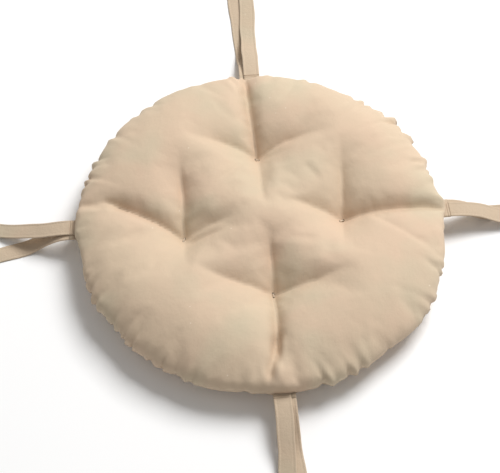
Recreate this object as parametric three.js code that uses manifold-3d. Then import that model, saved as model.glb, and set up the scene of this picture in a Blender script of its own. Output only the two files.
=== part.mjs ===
// Round hand-tufted chair seat pad: two round cloth panels sewn together at the edge over a soft
// filling, four through-stitched tufts, and a pair of flat cloth ties at each of four sides.
// Millimetres, +Z up. The pad lies on the plane z = 0 and the origin is the centre of its underside.

import * as THREE from 'three';
import { mergeVertices } from 'three/addons/utils/BufferGeometryUtils.js';
import Module from 'manifold-3d';

// Pad
const padRadius = 200; // centre to sewn edge
const seamHeight = 24; // sewn edge above the seat
const topLoft = 38; // crown of the top above the seam
const bottomLoft = 32; // how far the belly would hang below the seam if nothing flattened it
const edgePower = 4; // a higher power keeps the crown level for longer before it falls to the edge
const edgeRoundness = 0.6; // 0.5 is a round edge, 1 a sharp one
const clothThickness = 1;
const seamAllowance = 10; // turned-in cloth inside the edge

// Tufts
const tuftCircle = 86; // radius of the circle that the tufts lie on
const tuftSpread = 24; // radius of a tuft's hollow
const tuftPull = 0.55; // share of the loft that a tuft takes away
const creasePull = 0.26; // share of the loft that a crease takes away at its tuft
const creaseWidth = 10; // half width of a crease
const creaseReach = 62; // how far a crease runs sideways and towards the centre
const creaseReachOut = 105; // how far it runs towards the edge
const threadRadius = 0.7;
const threadClearance = 0.3;
const stitchLength = 4; // bar of thread that shows on top
const knotRadius = 1.6; // knot under the bottom panel

// Filling
const fillingClearance = 0.5; // between the filling and the cloth

// Seam
const stitchInset = 2.5; // stitching line inside the edge
const stitchWidth = 0.9;
const stitchThickness = 0.5; // thread lying between the two turned-in edges

// Ties
const tieWidth = 18;
const tieThickness = 1.6; // folded double cloth
const tieLength = 240; // free length from the fold line to the end
const tieOffset = 2.5; // each tie of a pair lies this far to its own side of the middle
const tieGap = 0.4; // between the two ties of a pair, and between a tie and its sewn-in end
const foldReach = 3; // fold line outside the edge
const slotClearance = 0.3; // around a pair of tie ends where it enters the seam
const droopLength = 62; // length over which the lower tie of a pair comes down to the seat
const upperDroopLength = 100; // length over which the upper tie comes down
const splayStart = 8; // where the ties of a pair start to part
const splayLength = 60; // length over which they turn aside
const splayedApart = 4; // sideways space between two ties before the upper one comes down
const fallLength = 45; // length over which the upper tie comes down beside the lower one

// Each side: where its ties and its tuft sit round the pad, and how far each tie turns aside.
// The pad is made by hand, so no two sides are quite alike.
const sides = [
  { name: 'right', tieAngle: 0, tuftAngle: -3, lowerTurn: 2, upperTurn: -12 },
  { name: 'back', tieAngle: 87, tuftAngle: 86, lowerTurn: 4, upperTurn: -1 },
  { name: 'left', tieAngle: 175, tuftAngle: 187, lowerTurn: 16, upperTurn: -15 },
  { name: 'front', tieAngle: 270, tuftAngle: 273, lowerTurn: 2, upperTurn: -6 },
];

// Smoothness of the curved solids
const turnSteps = 48;
const crownSteps = 14;
const tieSteps = 24;
const threadSides = 8;

const calico = { color: 0xdcc5a6, roughness: 0.9, metalness: 0 };
const tieCloth = { color: 0xd6bf9f, roughness: 0.9, metalness: 0 };
const fibre = { color: 0xf2efe8, roughness: 1, metalness: 0 };
const cottonThread = { color: 0xe6d9c0, roughness: 0.8, metalness: 0 };

const pairThickness = 2 * tieThickness + tieGap;
const foldRadius = padRadius + foldReach;
const allowanceEnd = padRadius - seamAllowance;
const topFace = seamHeight + stitchThickness / 2; // where the top panel's edge meets the stitching
const bottomFace = seamHeight - stitchThickness / 2;
const tuftPlaces = sides.map((side) => pointOnCircle(tuftCircle, side.tuftAngle));

const wasm = await Module();
wasm.setup();

function pointOnCircle(radius, degrees) {
  const angle = THREE.MathUtils.degToRad(degrees);
  return new THREE.Vector2(radius * Math.cos(angle), radius * Math.sin(angle));
}

// Bell curve, 1 at zero and near nothing beyond twice the width
function bell(distance, width) {
  return Math.exp(-((distance / width) ** 2));
}

// Share of the loft left at a point by the tufts and by the creases that run from each tuft
// along the two thread directions of the cloth
function quilting(x, y, crease) {
  let left = 1;
  for (const tuft of tuftPlaces) {
    const dx = x - tuft.x;
    const dy = y - tuft.y;
    const outX = dx * tuft.x > 0 && Math.abs(tuft.x) > Math.abs(tuft.y);
    const outY = dy * tuft.y > 0 && Math.abs(tuft.y) > Math.abs(tuft.x);
    const alongX = bell(dx, outX ? creaseReachOut : creaseReach) * bell(dy, creaseWidth);
    const alongY = bell(dy, outY ? creaseReachOut : creaseReach) * bell(dx, creaseWidth);
    left *= 1 - tuftPull * bell(Math.hypot(dx, dy), tuftSpread);
    left *= (1 - crease * alongX) * (1 - crease * alongY);
  }
  return left;
}

// Height of a plain crown above its edge at a radius
function crown(loft, radius) {
  const share = Math.min(1, radius / padRadius);
  return loft * (1 - share ** edgePower) ** edgeRoundness;
}

// Outer face of the top panel, or a surface some way inside it
function topSurface(inset) {
  return (x, y) => {
    const rise = crown(topLoft, Math.hypot(x, y)) * quilting(x, y, creasePull);
    return topFace + clothThickness + rise - inset;
  };
}

// Outer face of the bottom panel, which bellies down and is flattened by the seat it lies on
function bottomSurface(inset) {
  return (x, y) => {
    const drop = crown(bottomLoft, Math.hypot(x, y)) * quilting(x, y, 0);
    return Math.max(0, bottomFace - clothThickness - drop) + inset;
  };
}

// Radii of the rings of points: close together at the edge and wide apart at the centre
function ringRadii(limit) {
  const radii = [];
  for (let i = 0; i <= crownSteps; i += 1) {
    radii.push(padRadius * Math.sin((Math.PI / 2) * (i / crownSteps)));
  }
  return radii.filter((radius) => radius <= limit);
}

function ringsOut(limit, height) {
  return ringRadii(limit).map((radius) => ({ radius, height }));
}

function ringsIn(limit, height) {
  return ringsOut(limit, height).reverse();
}

function level(radius, z) {
  return { radius, height: () => z };
}

// A turned solid whose rings then take the height that their surface has at each point
function turned(rings) {
  const profile = rings.map((ring, i) => new THREE.Vector2(ring.radius, i));
  const geometry = new THREE.LatheGeometry(profile, turnSteps);
  geometry.rotateX(Math.PI / 2);
  const place = geometry.attributes.position;
  for (let i = 0; i < place.count; i += 1) {
    const ring = rings[Math.round(place.getZ(i))];
    place.setZ(i, ring.height(place.getX(i), place.getY(i)));
  }
  return geometry;
}

function toSolid(geometry) {
  const bare = geometry.clone();
  bare.deleteAttribute('normal');
  bare.deleteAttribute('uv');
  const merged = mergeVertices(bare, 1e-3);
  const vertProperties = merged.attributes.position.array;
  const triVerts = new Uint32Array(merged.index.array);
  return new wasm.Manifold(new wasm.Mesh({ numProp: 3, vertProperties, triVerts }));
}

function toGeometry(solid) {
  const mesh = solid.getMesh();
  const geometry = new THREE.BufferGeometry();
  geometry.setAttribute('position', new THREE.BufferAttribute(mesh.vertProperties, 3));
  geometry.setIndex(new THREE.BufferAttribute(mesh.triVerts, 1));
  geometry.computeVertexNormals();
  return geometry;
}

function cut(geometry, cutters) {
  let solid = toSolid(geometry);
  for (const cutter of cutters) {
    solid = solid.subtract(toSolid(cutter));
  }
  return toGeometry(solid);
}

function join(geometries) {
  let solid = toSolid(geometries[0]);
  for (const geometry of geometries.slice(1)) {
    solid = solid.add(toSolid(geometry));
  }
  return toGeometry(solid);
}

function upright(radius, bottom, top) {
  const geometry = new THREE.CylinderGeometry(radius, radius, top - bottom, threadSides);
  geometry.rotateX(Math.PI / 2);
  return geometry.translate(0, 0, (top + bottom) / 2);
}

// Holes that the four tuft threads pass through
function threadHoles() {
  const holeRadius = threadRadius + threadClearance;
  const reach = seamHeight + topLoft + bottomLoft;
  return tuftPlaces.map((tuft) => {
    return upright(holeRadius, -reach, reach).translate(tuft.x, tuft.y, 0);
  });
}

// Outline, seen from the side, of a pair of tie ends: a strip that narrows to the fold line
function endOutline(grow) {
  const half = pairThickness / 2 + grow;
  const inner = -(seamAllowance + foldReach) - grow;
  const outline = new THREE.Shape();
  outline.moveTo(inner, -half);
  outline.lineTo(-(pairThickness + tieGap) / 2, -half);
  outline.lineTo(-tieGap / 2, 0);
  outline.lineTo(-(pairThickness + tieGap) / 2, half);
  outline.lineTo(inner, half);
  outline.closePath();
  return outline;
}

// A pair of tie ends pointing outward along +X to the fold line
function endStrip(grow) {
  const width = tieWidth + 2 * tieOffset + 2 * grow;
  const strip = new THREE.ExtrudeGeometry(endOutline(grow), { depth: width, bevelEnabled: false });
  strip.rotateX(Math.PI / 2);
  return strip.translate(foldRadius, width / 2, seamHeight);
}

// Openings in the seam where the four pairs of ties come out
function tieSlots() {
  return sides.map((side) => {
    return endStrip(slotClearance).rotateZ(THREE.MathUtils.degToRad(side.tieAngle));
  });
}

function fullTop() {
  const rings = [level(0, topFace), level(padRadius, topFace)];
  return turned(rings.concat(ringsIn(padRadius, topSurface(0))));
}

function fullBottom() {
  const rings = ringsOut(padRadius, bottomSurface(0));
  return turned(rings.concat([level(padRadius, bottomFace), level(0, bottomFace)]));
}

// A cloth dish with its edge turned in under it
function topPanel() {
  const wall = padRadius - seamAllowance / 2;
  const back = topFace + clothThickness;
  const hollow = [level(0, bottomFace), level(allowanceEnd, bottomFace), level(allowanceEnd, back)];
  const insideRings = ringsIn(wall, topSurface(clothThickness));
  hollow.push(level(insideRings[0].radius, back));
  return cut(fullTop(), [turned(hollow.concat(insideRings)), ...threadHoles(), ...tieSlots()]);
}

function bottomPanel() {
  const wall = padRadius - seamAllowance / 2;
  const back = bottomFace - clothThickness;
  const insideRings = ringsOut(wall, bottomSurface(clothThickness));
  const hollow = [level(insideRings.at(-1).radius, back), level(allowanceEnd, back)];
  hollow.push(level(allowanceEnd, topFace), level(0, topFace));
  return cut(fullBottom(), [turned(insideRings.concat(hollow)), ...threadHoles(), ...tieSlots()]);
}

// One soft core, ending short of the turned-in edges
function filling() {
  const inset = clothThickness + fillingClearance;
  const limit = allowanceEnd - fillingClearance;
  const rings = ringsOut(limit, bottomSurface(inset)).concat(ringsIn(limit, topSurface(inset)));
  return cut(turned(rings), threadHoles());
}

// A ring of stitching between the two edges
function stitchRing(grow) {
  const middle = padRadius - stitchInset;
  const inner = middle - stitchWidth / 2 - grow;
  const outer = middle + stitchWidth / 2 + grow;
  const low = bottomFace - grow;
  const high = topFace + grow;
  const rings = [level(inner, low), level(outer, low), level(outer, high), level(inner, high)];
  return turned(rings.concat([level(inner, low)]));
}

// Highest or lowest point of a panel's face under a stitch, met by a line from outside
function faceHeight(panel, tuft, fromAbove) {
  const sign = fromAbove ? 1 : -1;
  const far = seamHeight + topLoft + bottomLoft;
  const heights = [-1, 0, 1].map((end) => {
    const start = new THREE.Vector3(tuft.x + (end * stitchLength) / 2, tuft.y, sign * far);
    const ray = new THREE.Raycaster(start, new THREE.Vector3(0, 0, -sign));
    return ray.intersectObject(panel)[0].point.z * sign;
  });
  return Math.max(...heights) * sign;
}

// A thread through the whole pad, with a short stitch on top and a knot underneath
function tuftThread(tuft, topMesh, bottomMesh) {
  const barHeight = faceHeight(topMesh, tuft, true) + threadClearance + threadRadius;
  const knotHeight = faceHeight(bottomMesh, tuft, false) - threadClearance - knotRadius;
  const bar = upright(threadRadius, -stitchLength / 2, stitchLength / 2);
  bar.rotateY(Math.PI / 2).translate(0, 0, barHeight);
  const knot = new THREE.SphereGeometry(knotRadius, threadSides, threadSides / 2);
  knot.translate(0, 0, knotHeight);
  return join([upright(threadRadius, knotHeight, barHeight), bar, knot]);
}

// The sewn-in ends of a pair of ties, with the line of stitching passing through them
function tieEnds(side) {
  const ring = stitchRing(threadClearance);
  return cut(endStrip(0), [ring.rotateZ(-THREE.MathUtils.degToRad(side.tieAngle))]);
}

// Points along the middle of a pair of ties that leaves the fold line outward along +X, comes
// down to the seat and turns aside, each with the directions onward, across and up there.
// The upper tie falls further, to lie beside the lower one, once they have parted.
function route(side, upper) {
  const turn = THREE.MathUtils.degToRad(upper ? side.upperTurn : side.lowerTurn);
  const parting = THREE.MathUtils.degToRad(Math.abs(side.upperTurn - side.lowerTurn));
  const room = tieWidth + splayedApart - 2 * tieOffset;
  const fallStart = splayStart + splayLength / 2 + room / Math.tan(parting);
  const falls = upper && fallStart + fallLength < tieLength;
  const { smoothstep } = THREE.MathUtils;
  const height = (along) => {
    const droopEnd = upper ? upperDroopLength : droopLength;
    const droop = smoothstep(along, 0, droopEnd) * (seamHeight - pairThickness / 2);
    const fall = smoothstep(along, fallStart, fallStart + fallLength) * (tieThickness + tieGap);
    return -droop - (falls ? fall : 0);
  };
  const directions = (along) => {
    const slope = height(along + 0.5) - height(along - 0.5);
    const heading = turn * smoothstep(along, splayStart, splayStart + splayLength);
    const flat = Math.sqrt(1 - slope ** 2);
    const onward = new THREE.Vector3(flat * Math.cos(heading), flat * Math.sin(heading), slope);
    const across = new THREE.Vector3(-Math.sin(heading), Math.cos(heading), 0);
    return { onward, across, up: onward.clone().cross(across) };
  };
  const step = tieLength / tieSteps;
  const middle = new THREE.Vector3();
  const stations = [];
  for (let i = 0; i <= tieSteps; i += 1) {
    middle.z = height(i * step);
    stations.push({ middle: middle.clone(), ...directions(i * step) });
    middle.addScaledVector(directions((i + 0.5) * step).onward, step);
  }
  return stations;
}

// A flat tie. Its end at the fold line is mitred, so that the tie can turn up and down there,
// and the upper tie of a pair lies a little to the side that it turns to.
function tie(side, upper) {
  const sign = upper ? 1 : -1;
  const aside = sign * Math.sign(side.upperTurn - side.lowerTurn) * tieOffset;
  const lift = (sign * (tieThickness + tieGap)) / 2;
  const stations = route(side, upper);
  const strap = new THREE.BoxGeometry(tieLength, tieWidth, tieThickness, tieSteps, 1, 1);
  const place = strap.attributes.position;
  for (let i = 0; i < place.count; i += 1) {
    const index = Math.round((place.getX(i) / tieLength + 0.5) * tieSteps);
    const station = stations[index];
    const rise = place.getZ(i) + lift;
    const point = station.middle.clone();
    point.addScaledVector(station.onward, index === 0 ? Math.abs(rise) : 0);
    point.addScaledVector(station.across, place.getY(i) + aside);
    point.addScaledVector(station.up, rise);
    place.setXYZ(i, point.x, point.y, point.z);
  }
  return strap;
}

function named(name, geometry, finish) {
  const mesh = new THREE.Mesh(geometry, new THREE.MeshStandardMaterial(finish));
  mesh.name = name;
  return mesh;
}

function pad() {
  const group = new THREE.Group();
  group.add(named('top_panel', topPanel(), calico));
  group.add(named('bottom_panel', bottomPanel(), calico));
  group.add(named('filling', filling(), fibre));
  group.add(named('seam_stitching', stitchRing(0), cottonThread));
  return group;
}

function tufts() {
  const group = new THREE.Group();
  const topMesh = new THREE.Mesh(fullTop());
  const bottomMesh = new THREE.Mesh(fullBottom());
  sides.forEach((side, i) => {
    const thread = tuftThread(tuftPlaces[i], topMesh, bottomMesh);
    const mesh = named(`tuft_thread_${side.name}`, thread, cottonThread);
    mesh.position.set(tuftPlaces[i].x, tuftPlaces[i].y, 0);
    group.add(mesh);
  });
  return group;
}

// A pair of ties and their sewn-in ends, turned to their side of the pad
function tiePair(side) {
  const ends = new THREE.Group();
  ends.add(named(`tie_ends_${side.name}`, tieEnds(side), tieCloth));
  const fold = new THREE.Group();
  fold.position.set(foldRadius, 0, seamHeight);
  fold.add(named(`tie_${side.name}_lower`, tie(side, false), tieCloth));
  fold.add(named(`tie_${side.name}_upper`, tie(side, true), tieCloth));
  ends.add(fold);
  ends.rotation.z = THREE.MathUtils.degToRad(side.tieAngle);
  return ends;
}

const seatPad = new THREE.Group();
seatPad.name = 'chair_seat_pad';
seatPad.add(pad(), tufts(), ...sides.map(tiePair));

export default seatPad;
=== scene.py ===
import math

import bmesh
import bpy
import numpy as np
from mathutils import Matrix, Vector
from mathutils.bvhtree import BVHTree


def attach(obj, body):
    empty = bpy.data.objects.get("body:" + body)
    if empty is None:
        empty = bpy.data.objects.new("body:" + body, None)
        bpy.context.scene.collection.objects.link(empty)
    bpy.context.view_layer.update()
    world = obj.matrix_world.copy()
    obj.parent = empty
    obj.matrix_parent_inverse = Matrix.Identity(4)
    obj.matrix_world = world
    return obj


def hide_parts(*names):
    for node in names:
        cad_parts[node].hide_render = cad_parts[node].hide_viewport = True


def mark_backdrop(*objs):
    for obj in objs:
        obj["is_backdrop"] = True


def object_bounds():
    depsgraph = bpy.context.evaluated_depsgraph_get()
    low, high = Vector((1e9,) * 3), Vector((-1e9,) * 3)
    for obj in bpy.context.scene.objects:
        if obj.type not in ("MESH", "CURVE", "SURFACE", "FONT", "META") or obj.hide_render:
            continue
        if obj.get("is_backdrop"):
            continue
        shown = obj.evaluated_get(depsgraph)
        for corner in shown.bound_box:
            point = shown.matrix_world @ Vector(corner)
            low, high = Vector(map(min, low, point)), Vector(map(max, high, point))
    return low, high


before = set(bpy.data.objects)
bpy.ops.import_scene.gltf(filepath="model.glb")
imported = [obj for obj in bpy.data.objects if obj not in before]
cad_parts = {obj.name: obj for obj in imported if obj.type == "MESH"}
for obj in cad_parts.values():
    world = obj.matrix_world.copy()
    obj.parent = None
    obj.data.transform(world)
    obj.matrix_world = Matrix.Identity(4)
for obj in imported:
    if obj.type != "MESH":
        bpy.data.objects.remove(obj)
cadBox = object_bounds()
scene = bpy.context.scene

# Lengths below are in millimetres and angles in degrees, unless a note says otherwise
mm = 0.001


def smooth(value, start, end):
    share = np.clip((value - start) / (end - start), 0, 1)
    return share * share * (3 - 2 * share)


def bell(distance, width):
    return np.exp(-(distance / width) ** 2)


def around(radius, degrees):
    return np.array([radius * math.cos(math.radians(degrees)), radius * math.sin(math.radians(degrees))])


# A smooth uneven wave round the pad, from about -1 to 1
def ripple(angle, waves, randomness, lowest, highest):
    total = np.zeros_like(angle)
    for _ in range(waves):
        count = randomness.integers(lowest, highest)
        total += np.sin(count * angle + randomness.uniform(0, 2 * math.pi))
    return total / math.sqrt(waves)


# Angle in radians round to a heading in degrees, from -pi to pi
def angleFrom(angle, degrees):
    return (angle - math.radians(degrees) + math.pi) % (2 * math.pi) - math.pi


# A line across the pad that starts at a point and bends as it goes
def lineFrom(start, heading, reach, bend=0, steps=14):
    points = [np.array(start, float)]
    for i in range(steps):
        angle = math.radians(heading + bend * i / steps)
        points.append(points[-1] + reach / steps * np.array([math.cos(angle), math.sin(angle)]))
    return np.array(points)


# Distance of each point from a line, how far along the line it is, and which side it is on
def alongLine(x, y, line):
    nearest = np.full(x.shape, 1e9)
    along = np.zeros(x.shape)
    side = np.zeros(x.shape)
    for i in range(len(line) - 1):
        step = line[i + 1] - line[i]
        length = math.hypot(*step)
        dx = x - line[i][0]
        dy = y - line[i][1]
        share = np.clip((dx * step[0] + dy * step[1]) / length ** 2, 0, 1)
        distance = np.hypot(dx - share * step[0], dy - share * step[1])
        closer = distance < nearest
        nearest = np.where(closer, distance, nearest)
        along = np.where(closer, (i + share) / (len(line) - 1), along)
        side = np.where(closer, np.sign(step[0] * dy - step[1] * dx), side)
    return nearest, along, side


# A smooth mesh from points in millimetres
def newPiece(name, points, faces):
    mesh = bpy.data.meshes.new(name)
    mesh.from_pydata((np.asarray(points, float) * mm).tolist(), [], faces)
    mesh.validate()
    mesh.polygons.foreach_set("use_smooth", [True] * len(mesh.polygons))
    mesh.update()
    piece = bpy.data.objects.new(name, mesh)
    scene.collection.objects.link(piece)
    return piece


# Where each vertex was in the flat cloth, for the weave
def setClothPlace(piece, places):
    layer = piece.data.attributes.new("clothPlace", "FLOAT_VECTOR", "POINT")
    layer.data.foreach_set("vector", (np.asarray(places, float) * mm).ravel())


def vertexPlaces(piece):
    places = np.empty(len(piece.data.vertices) * 3)
    piece.data.vertices.foreach_get("co", places)
    return places.reshape(-1, 3) / mm


def applyModifiers(piece):
    graph = bpy.context.evaluated_depsgraph_get()
    made = bpy.data.meshes.new_from_object(piece.evaluated_get(graph))
    old = piece.data
    piece.modifiers.clear()
    piece.data = made
    made.name = piece.name
    bpy.data.meshes.remove(old)


def mergeClose(piece):
    mesh = bmesh.new()
    mesh.from_mesh(piece.data)
    bmesh.ops.remove_doubles(mesh, verts=mesh.verts, dist=0.002 * mm)
    bmesh.ops.dissolve_degenerate(mesh, edges=mesh.edges, dist=0.001 * mm)
    bmesh.ops.recalc_face_normals(mesh, faces=mesh.faces)
    mesh.to_mesh(piece.data)
    mesh.free()


# A round tube along a line of points; its ends are closed
def tube(path, radius, sides=8):
    path = np.asarray(path, float)
    along = np.gradient(path, axis=0)
    along /= np.linalg.norm(along, axis=1)[:, None]
    normal = np.cross(along[0], [0, 0, 1])
    if np.linalg.norm(normal) < 0.1:
        normal = np.cross(along[0], [1, 0, 0])
    points = []
    for place, direction in zip(path, along):
        normal = normal - direction * normal.dot(direction)
        normal /= np.linalg.norm(normal)
        other = np.cross(direction, normal)
        for k in range(sides):
            turn = 2 * math.pi * k / sides
            points.append(place + radius * (math.cos(turn) * normal + math.sin(turn) * other))
    faces = []
    for i in range(len(path) - 1):
        for k in range(sides):
            n = (k + 1) % sides
            faces.append([i * sides + k, i * sides + n, (i + 1) * sides + n, (i + 1) * sides + k])
    faces.append(list(range(sides))[::-1])
    faces.append([(len(path) - 1) * sides + k for k in range(sides)])
    return points, faces


def joined(parts):
    points = []
    faces = []
    for partPoints, partFaces in parts:
        start = len(points)
        points.extend(partPoints)
        faces.extend([[start + corner for corner in face] for face in partFaces])
    return points, faces


# The pad's shape, in millimetres
pad = {
    "radius": 200,
    "seamHeight": 24,
    "topLoft": 36,
    "bottomLoft": 30,
    "edgePower": 4,
    "edgeRoundness": 0.55,
    "clothThickness": 1.0,
    "cell": 5.0,  # spacing of the cloth's points while it is simulated
    "tuftSpread": 19,
    "tuftPull": 0.52,
    "creaseWidth": 11,
    "pressure": 9.0,
    "growth": 0.034,  # slack of the cloth, as a share of its length
    "frames": 20,
    "creaseCut": 5.5,  # how far the cloth is tucked in along a crease
    "creaseCutWidth": 3.5,
    "mostMoved": 22,  # limit on how far the simulation may move a point
    "topHeight": 63.1,  # highest point of the finished pad above the seat
    "edgeUnevenness": 0.9,
    "edgeReach": 16,  # how far in from the seam the edge is drawn back
    "edgeTrim": 1.2,
    "notchWidth": 12,  # width of the pull at each pair of ties
    "flatFrom": 3,  # below this height the belly flattens onto the seat
    "pleats": 58,
    "pleatDepth": 3.2,
    "pleatReach": (4, 11),
    "pleatWidth": (2.6, 5.2),
    "gathers": {"from": 196, "to": 238, "count": 11, "depth": 3.4},  # closer, sharper pleats
    "underDraw": 0.8,  # how much the underside draws in for each millimetre below the seam
    "mouth": 2.0,  # how far the edges of the two panels part round the ties
    "swellWidth": 30,
    # where the edge swells out or is drawn in: angle round the pad, how far
    "swells": {6: -3.5, 36: 4, 56: -4.5, 116: 5, 135: 2.5, 162: -4, 186: -6, 212: -3, 246: 2,
               262: -1, 289: 1.5, 304: -1.5, 320: 3.5, 352: -3},
    "seed": 11,
}

# The creases at each tuft: heading, reach, depth as a share of the loft, how far the crease
# bends, and the share of its length where it starts to fade
tufts = {
    "right": {"at": around(87, -3), "ties": 0, "edge": 200.8, "creases": {
        "out": (1, 116, 0.44, -2, 1.0), "up": (82, 92, 0.30, 6, 0.4), "down": (-98, 52, 0.18, 0, 0.2),
        "in": (160, 60, 0.26, 8, 0.4)}},
    "back": {"at": around(85, 86), "ties": 87, "edge": 194.5, "creases": {
        "out": (94, 118, 0.48, -8, 1.0), "left": (154, 70, 0.28, 24, 0.4),
        "right": (22, 78, 0.28, -32, 0.4), "in": (-90, 84, 0.22, -4, 0.3)}},
    "left": {"at": around(84, 187), "ties": 175, "edge": 199, "creases": {
        "out": (147, 98, 0.42, 3, 0.75), "up": (86, 94, 0.36, 2, 0.5), "down": (-90, 52, 0.18, 0, 0.2),
        "in": (10, 58, 0.24, -4, 0.4)}},
    "front": {"at": around(87, 272), "ties": 270, "edge": 200.6, "creases": {
        "out": (-92, 92, 0.44, -3, 0.75), "left": (168, 84, 0.26, -16, 0.4),
        "right": (-3, 80, 0.28, 24, 0.4), "in": (87, 64, 0.34, 0, 0.5)}},
}

# Small folds between the creases: start, heading, reach, depth in millimetres, width
folds = [
    ((-86, -20), 4, 50, 4.5, 5),
    ((0, -136), -106, 66, 7.5, 4.5),
    ((0, 78), 221, 56, 1.8, 3),
    ((52, 56), -58, 34, 1.6, 4),
    ((58, -42), 168, 40, 1.4, 5),
    ((2, 160), 118, 36, 3.5, 4),
    ((-150, 36), 176, 50, 2.5, 6),
]


# Share of the loft that the creases leave at each point
def creaseShare(x, y, part=1.0):
    left = np.ones_like(x)
    held = np.zeros_like(x)
    for tuft in tufts.values():
        for heading, reach, depth, bend, fadeFrom in tuft["creases"].values():
            line = lineFrom(tuft["at"], heading, reach, bend)
            distance, along, _ = alongLine(x, y, line)
            width = pad["creaseWidth"] * (1.25 - 0.45 * along)
            rounded = np.sqrt(distance ** 2 + 1.2) - 1.1
            fade = (1 - smooth(along, fadeFrom, 1.25 if fadeFrom > 0.9 else 1)) * (1 - 0.2 * along)
            groove = fade * np.exp(-np.maximum(rounded, 0) / width)
            left *= 1 - part * depth * groove
            held = np.maximum(held, groove)
    return left, held


def tuftShare(x, y):
    left = np.ones_like(x)
    for tuft in tufts.values():
        distance = np.hypot(x - tuft["at"][0], y - tuft["at"][1])
        left *= 1 - pad["tuftPull"] * np.exp(-np.maximum(distance - 1, 0) / pad["tuftSpread"])
    return left


def crown(radius):
    share = np.clip(radius / pad["radius"], 0, 1)
    return (1 - share ** pad["edgePower"]) ** pad["edgeRoundness"]


# Square cells along the two thread directions, top and bottom sharing the points of the edge
def padGrid(cell):
    radius = pad["radius"]
    count = round(2 * radius / cell)
    cells = []
    used = {}
    for i in range(count):
        for j in range(count):
            if math.hypot(-radius + (i + 0.5) * cell, -radius + (j + 0.5) * cell) < radius - 0.25 * cell:
                cells.append((i, j))
                for corner in ((i, j), (i + 1, j), (i + 1, j + 1), (i, j + 1)):
                    used[corner] = used.get(corner, 0) + 1
    top = {}
    bottom = {}
    flat = []
    for corner, touching in used.items():
        x = -radius + corner[0] * cell
        y = -radius + corner[1] * cell
        if touching < 4:
            stretch = radius / math.hypot(x, y)
            top[corner] = bottom[corner] = len(flat)
            flat.append((x * stretch, y * stretch, 0))
        else:
            top[corner] = len(flat)
            flat.append((x, y, 1))
            bottom[corner] = len(flat)
            flat.append((x, y, -1))
    topFaces = []
    bottomFaces = []
    for i, j in cells:
        ring = ((i, j), (i + 1, j), (i + 1, j + 1), (i, j + 1))
        topFaces.append([top[corner] for corner in ring])
        bottomFaces.append([bottom[corner] for corner in reversed(ring)])
    return np.array(flat, float), topFaces, bottomFaces


# How the calico behaves while the filling pushes it out
simulation = {
    "quality": 6,
    "mass": 0.15,
    "air_damping": 2,
    "tension_stiffness": 18,
    "compression_stiffness": 12,
    "shear_stiffness": 2,
    "bending_stiffness": 0.15,
    "tension_damping": 5,
    "compression_damping": 5,
    "shear_damping": 5,
    "bending_damping": 0.5,
}


def puffedPad():
    cell = pad["cell"] * 1
    flat, topFaces, bottomFaces = padGrid(cell)
    x, y, layer = flat.T.copy()
    tuftPoints = []
    for tuft in tufts.values():
        for wanted in (1, -1):
            distance = np.hypot(x - tuft["at"][0], y - tuft["at"][1]) + 1e3 * (layer != wanted)
            point = int(np.argmin(distance))
            x[point], y[point] = tuft["at"]
            tuftPoints.append(point)
    left, held = creaseShare(x, y)
    bottomLeft, _ = creaseShare(x, y, 0.35)
    rise = crown(np.hypot(x, y)) * tuftShare(x, y)
    height = np.where(layer > 0, pad["topLoft"] * rise * left, -pad["bottomLoft"] * rise * bottomLeft)
    height = np.where(layer == 0, 0, height)
    places = np.stack([x, y, height], axis=1)
    piece = newPiece("pad_form", places, topFaces + bottomFaces)
    setClothPlace(piece, np.stack([x, y, layer * 3], axis=1))

    # the tufts are tied down, the creases and the edge are held less firmly
    group = piece.vertex_groups.new(name="held")
    strength = np.where(layer > 0, 0.9 * held ** 2, 0.3 * held ** 2)
    strength = np.where(layer == 0, 0.45, strength)
    strength[tuftPoints] = 1
    for point, weight in enumerate(strength):
        if weight > 0.02:
            group.add([point], float(weight), "REPLACE")
    cloth = piece.modifiers.new("Cloth", "CLOTH")
    settings = cloth.settings
    for name, value in simulation.items():
        setattr(settings, name, value)
    settings.use_pressure = True
    settings.uniform_pressure_force = pad["pressure"]
    settings.vertex_group_mass = "held"
    settings.effector_weights.gravity = 0
    settings.shrink_min = -pad["growth"]
    cloth.collision_settings.use_collision = False
    cloth.collision_settings.use_self_collision = False
    cloth.point_cache.frame_start = 1
    cloth.point_cache.frame_end = pad["frames"]
    for step in range(1, pad["frames"] + 1):
        scene.frame_set(step)
    applyModifiers(piece)
    moved = vertexPlaces(piece) - places
    length = np.linalg.norm(moved, axis=1)
    print("pad simulated:", len(places), "points, moved up to", round(float(length.max()), 1), "mm")
    moved *= (np.minimum(length, pad["mostMoved"]) / np.maximum(length, 1e-6))[:, None]
    return piece, places + moved, topFaces, bottomFaces


print("pad simulation starts")
padForm, padPlaces, topFaces, bottomFaces = puffedPad()
padForm.data.vertices.foreach_set("co", (padPlaces * mm).ravel())
padForm.data.update()
print("pad puffed: top", round(padPlaces[:, 2].max(), 1), "bottom", round(padPlaces[:, 2].min(), 1), "mm")
finer = padForm.modifiers.new("Finer", "SUBSURF")
finer.levels = 1
applyModifiers(padForm)


# A groove in the cloth beside a raised lip, seen across its width
def pleatAcross(aside, width, lip, lipAt):
    return bell(aside, width) - lip * bell(aside - lipAt * width, width)


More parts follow.
